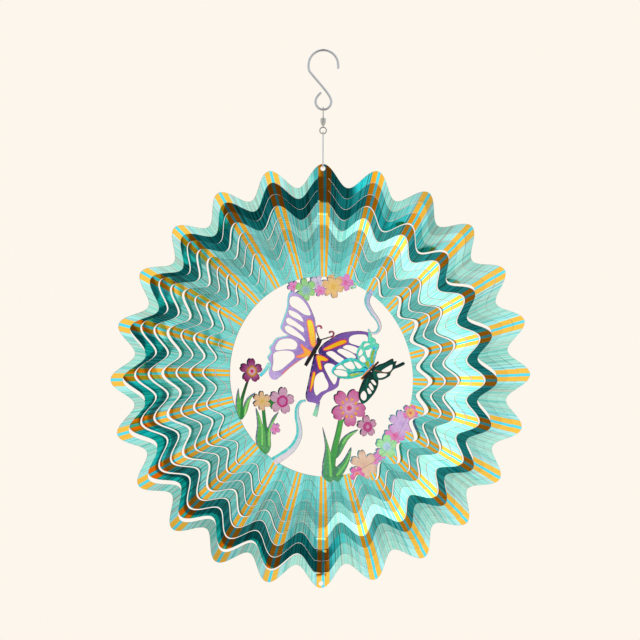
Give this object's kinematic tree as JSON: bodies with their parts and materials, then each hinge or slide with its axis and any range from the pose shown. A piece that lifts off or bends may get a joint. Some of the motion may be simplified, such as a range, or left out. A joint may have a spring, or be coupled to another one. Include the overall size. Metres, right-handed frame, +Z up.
{
  "type": "wind spinner",
  "caption": "Hanging sheet-steel wind spinner: nested wavy rings bent open round a butterfly and flower scene, on a snap link, swivel and S-hook.",
  "frame": {"origin": "inner top of the S-hook's crown, where it rests on whatever it hangs from", "axes": "+Z up along the hanging line, front of the disc faces -Y, +X to the viewer's right"},
  "size_m": [0.2953, 0.0691, 0.3804],
  "materials": {
    "hook_wire": "bright plated steel wire",
    "swivel_metal": "bright nickel plate",
    "link_wire": "bright steel wire",
    "ring_print": "translucent turquoise print with orange rays over brushed stainless steel",
    "purple_print": "translucent print over brushed steel",
    "teal_print": "translucent print over brushed steel",
    "pastel_print": "translucent print over brushed steel",
    "lilac_print": "translucent print over brushed steel",
    "pale_blue_print": "translucent print over brushed steel",
    "magenta_print": "translucent print over brushed steel",
    "mauve_print": "translucent print over brushed steel",
    "rose_print": "translucent print over brushed steel"
  },
  "bodies": {
    "s_hook": {"s_hook": "hook_wire"},
    "upper_eye": {"swivel_upper_eye": "swivel_metal"},
    "barrel": {"swivel_barrel": "swivel_metal", "swivel_lower_eye": "swivel_metal"},
    "link": {"wire_link": "link_wire"},
    "ring_1": {"wave_ring_1": "ring_print"},
    "ring_2": {"wave_ring_2": "ring_print"},
    "ring_3": {"wave_ring_3": "ring_print"},
    "ring_4": {"wave_ring_4": "ring_print"},
    "ring_5": {"wave_ring_5": "ring_print"},
    "ring_6": {"wave_ring_6": "ring_print"},
    "ring_7": {"wave_ring_7": "ring_print"},
    "ring_8": {"wave_ring_8": "ring_print"},
    "ring_9": {"wave_ring_9": "ring_print", "butterfly_large": "purple_print", "butterfly_small": "teal_print", "garland_top": "pastel_print", "garland_right": "lilac_print", "swirl_top": "pale_blue_print", "swirl_bottom": "pale_blue_print", "flower_magenta": "magenta_print", "flower_cluster_left": "mauve_print", "flower_rose": "rose_print"}
  },
  "joints": [
    {"name": "hook_swing", "type": "hinge", "parent": "s_hook", "child": "upper_eye", "pos_m": [0, 0, -0.0406], "axis": [1, 0, 0], "range_deg": [-45, 45]},
    {"name": "swivel_spin", "type": "hinge", "parent": "upper_eye", "child": "barrel", "pos_m": [0, 0, -0.0478], "axis": [0, 0, 1], "continuous": true},
    {"name": "link_swing", "type": "hinge", "parent": "barrel", "child": "link", "pos_m": [0, 0, -0.0575], "axis": [1, 0, 0], "range_deg": [-40, 40]},
    {"name": "disc_rock", "type": "hinge", "parent": "link", "child": "ring_1", "pos_m": [0, 0, -0.0808], "axis": [0, 1, 0], "range_deg": [-25, 25]},
    {"name": "rings_open", "type": "hinge", "parent": "ring_1", "child": "ring_2", "pos_m": [0, 0, -0.2286], "axis": [0, 0, -1], "range_deg": [-8, 12]},
    {"name": "ring_3_bend", "type": "hinge", "parent": "ring_2", "child": "ring_3", "pos_m": [0, 0, -0.2286], "axis": [0, 0, -1], "range_deg": [-2.3, 3.45]},
    {"name": "ring_4_bend", "type": "hinge", "parent": "ring_3", "child": "ring_4", "pos_m": [0, 0, -0.2286], "axis": [0, 0, -1], "range_deg": [-10, 15]},
    {"name": "ring_5_bend", "type": "hinge", "parent": "ring_4", "child": "ring_5", "pos_m": [0, 0, -0.2286], "axis": [0, 0, -1], "range_deg": [-3.5, 5.25]},
    {"name": "ring_6_bend", "type": "hinge", "parent": "ring_5", "child": "ring_6", "pos_m": [0, 0, -0.2286], "axis": [0, 0, -1], "range_deg": [-1.5, 2.25]},
    {"name": "ring_7_bend", "type": "hinge", "parent": "ring_6", "child": "ring_7", "pos_m": [0, 0, -0.2286], "axis": [0, 0, -1], "range_deg": [-3.2, 4.8]},
    {"name": "ring_8_bend", "type": "hinge", "parent": "ring_7", "child": "ring_8", "pos_m": [0, 0, -0.2286], "axis": [0, 0, -1], "range_deg": [-2.5, 3.75]},
    {"name": "ring_9_bend", "type": "hinge", "parent": "ring_8", "child": "ring_9", "pos_m": [0, 0, -0.2286], "axis": [0, 0, -1], "range_deg": [-3.3, 4.95]}
  ],
  "couplings": [
    {"joint": "ring_3_bend", "follows": "rings_open", "ratio": 0.2875},
    {"joint": "ring_4_bend", "follows": "rings_open", "ratio": 1.25},
    {"joint": "ring_5_bend", "follows": "rings_open", "ratio": 0.4375},
    {"joint": "ring_6_bend", "follows": "rings_open", "ratio": 0.1875},
    {"joint": "ring_7_bend", "follows": "rings_open", "ratio": 0.4},
    {"joint": "ring_8_bend", "follows": "rings_open", "ratio": 0.3125},
    {"joint": "ring_9_bend", "follows": "rings_open", "ratio": 0.4125}
  ]
}
